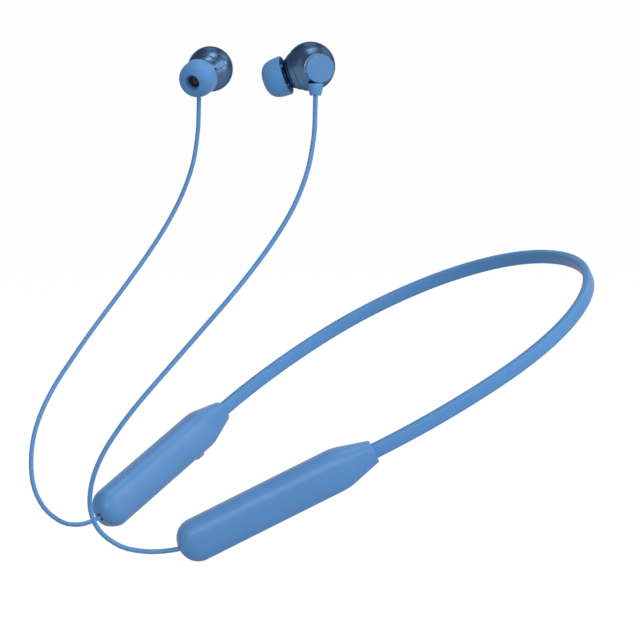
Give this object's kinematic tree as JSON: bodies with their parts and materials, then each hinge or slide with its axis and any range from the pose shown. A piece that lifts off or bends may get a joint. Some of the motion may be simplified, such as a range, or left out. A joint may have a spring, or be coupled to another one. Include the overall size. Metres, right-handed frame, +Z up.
{
  "type": "neckband earphones",
  "caption": "Neckband earphones: a flexible flat band with a capsule pod at each end, and a thin cable from each pod tip up to an ear bud with a silicone tip.",
  "frame": {"origin": "middle of the neckband's inner face at the nape, where it rests on the neck", "axes": "+X to the wearer's left, -Y to the wearer's front, +Z up; the band's plane slopes down to the front"},
  "size_m": [0.1246, 0.1814, 0.1545],
  "materials": {
    "band_silicone": "matte",
    "pod_shell": "soft matte",
    "key_cap": "matte",
    "cable_sheath": "matte",
    "grommet": "matte",
    "rear_disc": "matte",
    "bud_gloss": "glossy, metallic",
    "tip_silicone": "silicone",
    "steel": "plain",
    "mesh": "dark",
    "magnet": "nickel plated",
    "copper": "enamelled copper wire",
    "lead_sheath": "matte",
    "circuit_board": "solder mask",
    "dark_plastic": "moulded",
    "cell_wrap": "foil pouch",
    "foam": "open foam",
    "film": "thin film",
    "light_pipe": "clear"
  },
  "bodies": {
    "neckband": {"neckband": "band_silicone", "memory_wire": "steel", "neckband_lead": "lead_sheath"},
    "left_arm": {"left_pod_outer": "pod_shell", "left_pod_inner": "pod_shell", "left_band_anchor": "dark_plastic", "left_cable_grommet": "grommet", "left_cable": "cable_sheath", "battery_cell": "cell_wrap", "battery_foam": "foam", "battery_board": "circuit_board"},
    "right_arm": {"right_pod_outer": "pod_shell", "right_pod_inner": "pod_shell", "right_band_anchor": "dark_plastic", "right_cable_grommet": "grommet", "right_cable": "cable_sheath", "main_board": "circuit_board", "radio_shield": "steel", "usb_socket": "steel", "microphone": "steel", "status_light": "light_pipe", "board_screw_1": "steel", "board_screw_2": "steel", "multi_function_switch": "dark_plastic", "volume_down_switch": "dark_plastic", "volume_up_switch": "dark_plastic"},
    "multi_function_key": {"multi_function_key": "key_cap"},
    "volume_down_key": {"volume_down_key": "key_cap"},
    "volume_up_key": {"volume_up_key": "key_cap"},
    "left_bud": {"left_bud_housing": "bud_gloss", "left_bud_front": "bud_gloss", "left_bud_cap": "rear_disc", "left_latch_magnet": "magnet", "left_driver_basket": "steel", "left_driver_magnet": "magnet", "left_voice_coil": "copper", "left_diaphragm": "film", "left_nozzle_mesh": "mesh", "left_strain_relief": "cable_sheath"},
    "right_bud": {"right_bud_housing": "bud_gloss", "right_bud_front": "bud_gloss", "right_bud_cap": "rear_disc", "right_latch_magnet": "magnet", "right_driver_basket": "steel", "right_driver_magnet": "magnet", "right_voice_coil": "copper", "right_diaphragm": "film", "right_nozzle_mesh": "mesh", "right_strain_relief": "cable_sheath"},
    "left_tip": {"left_ear_tip": "tip_silicone"},
    "right_tip": {"right_ear_tip": "tip_silicone"}
  },
  "joints": [
    {"name": "left_flex", "type": "hinge", "parent": "neckband", "child": "left_arm", "pos_m": [0.046, -0.01808, -0.00953], "axis": [0, -0.4664, 0.8846], "range_deg": [-6, 22], "stiffness_Nm_per_rad": 0.35, "deforming": ["neckband", "memory_wire", "neckband_lead"]},
    {"name": "right_flex", "type": "hinge", "parent": "neckband", "child": "right_arm", "pos_m": [-0.046, -0.01808, -0.00953], "axis": [0, 0.4664, -0.8846], "range_deg": [-6, 22], "stiffness_Nm_per_rad": 0.35, "deforming": ["neckband", "memory_wire", "neckband_lead"]},
    {"name": "multi_function_press", "type": "slide", "parent": "right_arm", "child": "multi_function_key", "axis": [0, -0.4664, 0.8846], "range_m": [0, 0.0003], "stiffness_N_per_m": 600},
    {"name": "volume_down_press", "type": "slide", "parent": "right_arm", "child": "volume_down_key", "axis": [0, -0.4664, 0.8846], "range_m": [0, 0.0003], "stiffness_N_per_m": 600},
    {"name": "volume_up_press", "type": "slide", "parent": "right_arm", "child": "volume_up_key", "axis": [0, -0.4664, 0.8846], "range_m": [0, 0.0003], "stiffness_N_per_m": 600},
    {"name": "left_bud_turn", "type": "hinge", "parent": "left_arm", "child": "left_bud", "pos_m": [0.04095, -0.1112, 0.058], "axis": [0, 0, 1], "range_deg": [-60, 60], "stiffness_Nm_per_rad": 0.00002},
    {"name": "right_bud_turn", "type": "hinge", "parent": "right_arm", "child": "right_bud", "pos_m": [-0.04095, -0.1112, 0.058], "axis": [0, 0, 1], "range_deg": [-60, 60], "stiffness_Nm_per_rad": 0.00002},
    {"name": "left_tip_pull", "type": "slide", "parent": "left_bud", "child": "left_tip", "axis": [-0.6025, -0.7309, -0.3206], "range_m": [0, 0.007]},
    {"name": "right_tip_pull", "type": "slide", "parent": "right_bud", "child": "right_tip", "axis": [0.6025, -0.7309, -0.3206], "range_m": [0, 0.007]}
  ]
}
